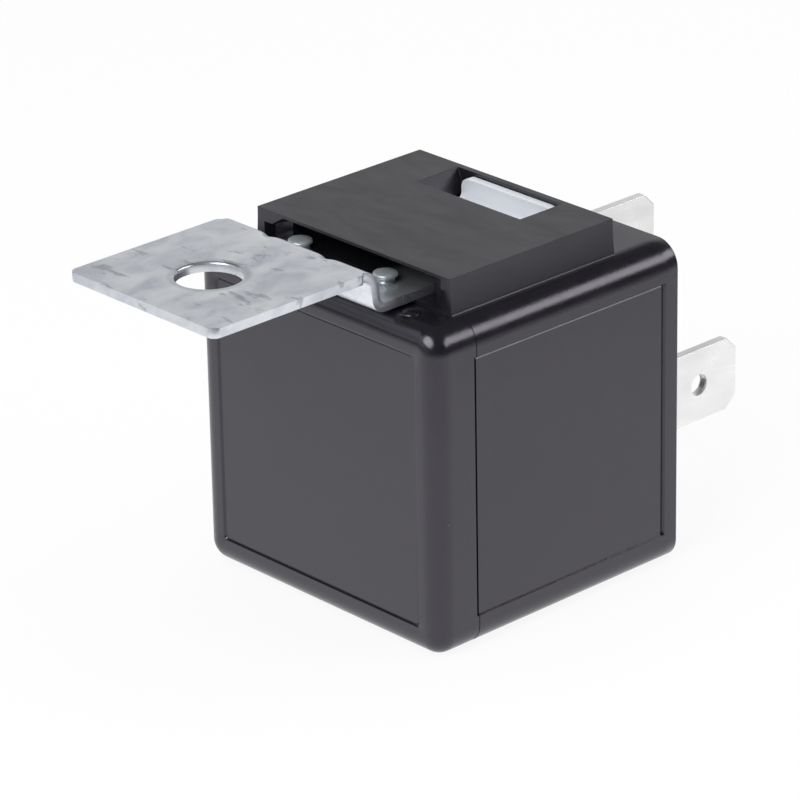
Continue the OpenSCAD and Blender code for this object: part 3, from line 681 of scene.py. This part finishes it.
def stretch_table():
    """Start, length, start point and heading of each stretch."""
    rows, s, y, z, heading = [], 0.0, TAB_START, TAB_TOP - SHEET / 2, 0.0
    for kind, size, *turn in bracket_path():
        if kind == "bend":
            length = abs(size) * turn[0]
            rows.append(Stretch(kind, s, length, y, z, heading, size))
            cy, cz = y - size * math.sin(heading), z + size * math.cos(heading)
            heading += math.copysign(turn[0], size)
            y, z = cy + size * math.sin(heading), cz - size * math.cos(heading)
        else:
            length = size - y if kind == "line to" else size
            rows.append(Stretch("line", s, length, y, z, heading, 0))
            y, z = y + length * math.cos(heading), z + length * math.sin(heading)
        s += length
    return rows


TABLE = stretch_table()
TAB_BEND, RISER_ROW, CATCH_BEND, CATCH_ROW = TABLE[1], TABLE[2], TABLE[5], TABLE[6]


def bend_point(x, s, h):
    """Where a point of the flat sheet lies once the sheet is bent."""
    row = next((r for r in TABLE if s <= r.start + r.length), TABLE[-1])
    t, y, z, heading = s - row.start, row.y, row.z, row.heading
    if row.kind == "bend":
        cy, cz = y - row.radius * math.sin(heading), z + row.radius * math.cos(heading)
        heading += t / row.radius
        y, z = cy + row.radius * math.sin(heading), cz - row.radius * math.cos(heading)
    else:
        y, z = y + t * math.cos(heading), z + t * math.sin(heading)
    return Vector((x, y - h * math.sin(heading), z + h * math.cos(heading)))


def arc_points(cx, cy, r, a0, a1, n):
    """Points of an arc between two angles in degrees."""
    angles = [math.radians(a0 + (a1 - a0) * k / n) for k in range(n + 1)]
    return [(cx + r * math.cos(a), cy + r * math.sin(a)) for a in angles]


def flat_outline():
    """Outline of the flat sheet in X and S, as one loop."""
    tab_end, flange_end = TAB_BEND.start, CATCH_BEND.start
    sheet_end = CATCH_ROW.start + CATCH_ROW.length
    notch = (TAB_HALF - NOTCH_R, tab_end - NOTCH_BACK)
    left, right = CATCH_X
    top = sheet_end - CATCH_R
    corner = (FLANGE_HALF - FLANGE_R, flange_end - FLANGE_R)
    foot = flange_end + CATCH_RELIEF
    return [*arc_points(TAB_HALF - TAB_R, TAB_R, TAB_R, -90, 0, 8),
            *arc_points(*notch, NOTCH_R, 0, 80, 5),
            (FLANGE_HALF, tab_end + 0.05), (FLANGE_HALF, corner[1]),
            *arc_points(*corner, FLANGE_R, 0, 90, 4)[1:],
            (right + CATCH_RELIEF, flange_end), (right, foot),
            *arc_points(right - CATCH_R, top, CATCH_R, 0, 90, 7),
            *arc_points(left + CATCH_R, top, CATCH_R, 90, 180, 7),
            (left, foot), (left - CATCH_RELIEF, flange_end),
            *arc_points(-corner[0], corner[1], FLANGE_R, 90, 180, 4),
            (-FLANGE_HALF, tab_end + 0.05),
            *arc_points(-notch[0], notch[1], NOTCH_R, 100, 180, 5),
            *arc_points(-TAB_HALF + TAB_R, TAB_R, TAB_R, 180, 270, 8)]


def slab(outline, holes, thickness):
    """A flat plate with holes, its middle at height 0."""
    bm = bmesh.new()
    edges = []
    for loop in [outline, *holes]:
        verts = [bm.verts.new((x, y, -thickness / 2)) for x, y in loop]
        edges += [bm.edges.new((a, b)) for a, b in zip(verts, verts[1:] + verts[:1])]
    bmesh.ops.triangle_fill(bm, edges=edges, use_beauty=True)
    bmesh.ops.dissolve_limit(bm, angle_limit=0.01, verts=[], edges=[])
    raised = bmesh.ops.extrude_face_region(bm, geom=list(bm.faces))
    for v in raised["geom"]:
        if isinstance(v, bmesh.types.BMVert):
            v.co.z = thickness / 2
    bmesh.ops.recalc_face_normals(bm, faces=bm.faces)
    return bm


def bracket():
    """The sheet is made flat, cut across where it bends, and then bent."""
    hole = Vector((0, HOLE_S))
    angles = [math.tau * k / 72 for k in range(72)]
    bm = slab(flat_outline(), [[(hole.x + HOLE_R * math.cos(a), hole.y + HOLE_R * math.sin(a))
                                for a in angles]], SHEET)

    def on_hole_top(e):
        return all(abs((v.co.xy - hole).length - HOLE_R) < 0.01 and v.co.z > 0 for v in e.verts)

    soften(bm, HOLE_EDGE_R, segments=4, angle=60, chosen=on_hole_top)
    soften(bm, SHEARED_R, segments=2, angle=60)

    bend_lo, bend_hi = TAB_BEND.start, RISER_ROW.start
    across = [row.start + row.length * k / BEND_CUTS
              for row in TABLE if row.kind == "bend" for k in range(BEND_CUTS + 1)]
    across += [bend_lo - d for d in CUTS_BEFORE] + [bend_hi + d for d in CUTS_AFTER]
    slice_up(bm, sorted(across), 1)

    def near_dimples(co):
        return bend_lo - CUTS_BEFORE[0] - 1e-4 < co.y < bend_hi + CUTS_AFTER[-1] + 1e-4

    along = sorted(side * DIMPLE_X + d for side in (-1, 1) for c in DIMPLE_CUTS for d in (-c, c))
    slice_up(bm, along, 0, near_dimples)

    dimple_s = bend_lo + TAB_BEND.length * DIMPLE_AT
    for v in bm.verts:
        x, s, h = v.co
        dx, ds = (abs(x) - DIMPLE_X) / DIMPLE_SIZE[0], (s - dimple_s) / DIMPLE_SIZE[1]
        dent = math.exp(-(dx * dx) - ds * ds)
        v.co = bend_point(x, s, h - DIMPLE_DEPTH * dent if dent > 0.01 else h)
    piece("bracket_sheet", bm, ZINC, "mounting_bracket", sharp=40)


def rivets():
    """Two rivets through the flange, each with a neck under its flat head."""
    foot, shank, neck_r, r = 26.25, 0.55, 0.65, 1.0
    neck, top = FLANGE_TOP + 0.4, FLANGE_TOP + 0.76
    profile = [(0, foot), (shank - 0.05, foot), (shank, foot + 0.05), (shank, FLANGE_TOP),
               (0.78, FLANGE_TOP + 0.01), (0.7, FLANGE_TOP + 0.08),
               (neck_r, FLANGE_TOP + 0.2), (neck_r, neck - 0.06), (0.7, neck),
               (r - 0.06, neck + 0.01), (r, neck + 0.07), (r, top - 0.14),
               (r - 0.04, top - 0.06), (r - 0.14, top - 0.01), (0.5, top), (0, top)]
    bm = bmesh.new()
    for x in (-RIVET_X, RIVET_X):
        lathe(bm, profile, (x, RIVET_Y))
    piece("bracket_rivet_heads", bm, RIVET_MAT, "bracket_rivets", sharp=50)


bracket()
rivets()

# ------------------------------------------------------------------ blades, base and spring

for blade in ("terminal_30", "terminal_85", "terminal_86", "terminal_87"):
    shape = from_node(blade)
    soften(shape, 0.07, angle=30)
    piece(blade + "_blade", shape, TIN, blade, sharp=30)

shape = from_node("base")
soften(shape, 0.05, angle=60)
piece("base_plate", shape, BASE_MAT, "base", sharp=30)


def contact_leaf():
    """The leaf spring, cut across between the armature's hinge line and the yoke's rivets, and on
    no body.
    """
    fixed_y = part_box("yoke_rivets")[0][1]
    _, hinge_y, hinge_z = frame["record"]["behaviour"]["joints"][0]["pos_m"]
    bm = from_node("contact_spring")
    cuts = [hinge_y + (fixed_y - hinge_y) * k / 12 for k in range(13)]
    slice_up(bm, [y / MM for y in cuts], 1)
    leaf = piece("contact_leaf", bm, BRONZE, "contact_spring", body=None,
                 sharp=30)
    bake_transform(leaf)


contact_leaf()

NODE_MATS = {
    "cap": CAP_MAT, "mounting_bracket": ZINC, "bracket_rivets": RIVET_MAT, "base": BASE_MAT,
    "terminal_30": TIN, "terminal_85": TIN, "terminal_86": TIN, "terminal_87": TIN,
    "bobbin": NYLON, "coil_winding": COPPER, "coil_tape": TAPE, "core": IRON, "yoke": IRON,
    "yoke_rivets": SMALL, "armature": IRON, "contact_spring": BRONZE, "armature_rivets": SMALL,
    "moving_contact": SILVER, "fixed_contact": SILVER}
for node_name, node_mat in NODE_MATS.items():
    ob = frame["nodes"][node_name]
    if not ob.material_slots:
        ob.data.materials.append(node_mat)
    for mat_slot in ob.material_slots:
        mat_slot.material = node_mat

# ------------------------------------------------------------------ floor and room

def floor_material():
    """Diffuse, near white to the camera, and fading outwards in reflections."""
    mat = bpy.data.materials.new("floor_white")
    mat.use_nodes = True
    mat.node_tree.nodes.clear()
    t = Nodes(mat.node_tree)
    path = t.node("ShaderNodeLightPath").outputs
    away = t.node("ShaderNodeVectorMath", operation="LENGTH")
    t.give(t.place(), away.inputs[0])
    fade = t.span(away.outputs["Value"], 0.045, 0.21, 1.0, 0.15)
    diffuse = t.node("ShaderNodeBsdfDiffuse")
    t.give((0.9, 0.9, 0.9), diffuse.inputs["Color"])
    glow = t.node("ShaderNodeEmission")
    t.give((1, 1, 1), glow.inputs["Color"])
    t.give(t.math("MAXIMUM", fade, path["Is Camera Ray"]), glow.inputs["Strength"])
    share = t.math("MULTIPLY", path["Is Camera Ray"], 0.9)
    for ray in ("Is Glossy Ray", "Is Transmission Ray"):
        share = t.math("MAXIMUM", share, path[ray])
    mixed = t.node("ShaderNodeMixShader")
    for sock, value in zip(mixed.inputs, (share, diffuse.outputs[0], glow.outputs[0])):
        t.give(value, sock)
    t.give(mixed.outputs[0], t.node("ShaderNodeOutputMaterial").inputs["Surface"])
    return mat


def floor():
    bm = bmesh.new()
    bmesh.ops.create_grid(bm, x_segments=1, y_segments=1, size=3)      # metres
    ob = show("floor", bm)
    ob.location.z = -0.02 * MM
    ob.data.materials.append(floor_material())


def room():
    """A pale wall on the left, up to about 33 degrees high, in a dim room."""
    world = bpy.data.worlds.new("studio")
    bpy.context.scene.world = world
    world.use_nodes = True
    t = Nodes(world.node_tree)
    way = t.node("ShaderNodeSeparateXYZ")
    t.give(t.node("ShaderNodeTexCoord").outputs["Generated"], way.inputs[0])
    wall = t.math("MULTIPLY", t.span(way.outputs["Z"], 0.50, 0.58, 0.57, 0.0),
                  t.span(way.outputs["X"], -0.3, 0.2, 1.0, 0.0))
    level = t.math("MAXIMUM", t.math("ADD", wall, 0.07),
                   t.node("ShaderNodeLightPath").outputs["Is Camera Ray"])
    background = world.node_tree.nodes["Background"]
    t.give((1, 1, 1), background.inputs["Color"])
    t.give(level, background.inputs["Strength"])


floor()
room()

# ------------------------------------------------------------------ lamps and camera

AIM = Vector((0, 0, 15 * MM))


def outward(az, el):
    """The direction from the object to an azimuth and elevation, in radians."""
    return Vector((math.sin(az) * math.cos(el), -math.cos(az) * math.cos(el), math.sin(el)))


def lamp(name, az, el, dist, size, radiance, shows=True, shape="RECTANGLE"):
    """A soft panel seen from the object at an azimuth and elevation, in degrees."""
    way = outward(math.radians(az), math.radians(el))
    data = bpy.data.lights.new(name, "AREA")
    data.shape = shape
    data.size, data.size_y = size
    data.energy = radiance * size[0] * size[1] * math.pi
    ob = bpy.data.objects.new(name, data)
    bpy.context.scene.collection.objects.link(ob)
    ob.location = AIM + way * dist
    ob.rotation_mode = "QUATERNION"
    ob.rotation_quaternion = (-way).to_track_quat("-Z", "Y")
    ob.visible_glossy = shows
    ob.visible_camera = False


def camera(az, el, roll, dist, beside, above, lens):
    """Looks at a point beside and above the origin; angles in radians, lengths in mm."""
    back = outward(az, el)
    level = Vector((math.cos(az), math.sin(az), 0))
    up = back.cross(level)
    right = math.cos(roll) * level + math.sin(roll) * up
    top = -math.sin(roll) * level + math.cos(roll) * up
    data = bpy.data.cameras.new("camera")
    data.sensor_width = 36
    data.lens = lens
    data.clip_start, data.clip_end = 0.01, 10
    ob = bpy.data.objects.new("camera", data)
    bpy.context.scene.collection.objects.link(ob)
    pose = Matrix((right, top, back)).transposed().to_4x4()
    pose.translation = (beside * right + above * top + dist * back) * MM
    ob.matrix_world = pose
    bpy.context.scene.camera = ob


lamp("softbox_right", 137, 27.4, 0.6, (0.54, 0.205), 3.5)
lamp("softbox_front", 9, 38, 0.6, (0.46, 0.46), 3.6, shape="ELLIPSE")
lamp("overhead", 0, 90, 0.8, (0.8, 0.8), 1.9, shows=False)
camera(math.radians(47.257), math.radians(23.683), math.radians(-1.082), dist=387.93,
       beside=-3.37112, above=12.99805, lens=211.40604)
bpy.context.scene.view_settings.view_transform = "Standard"
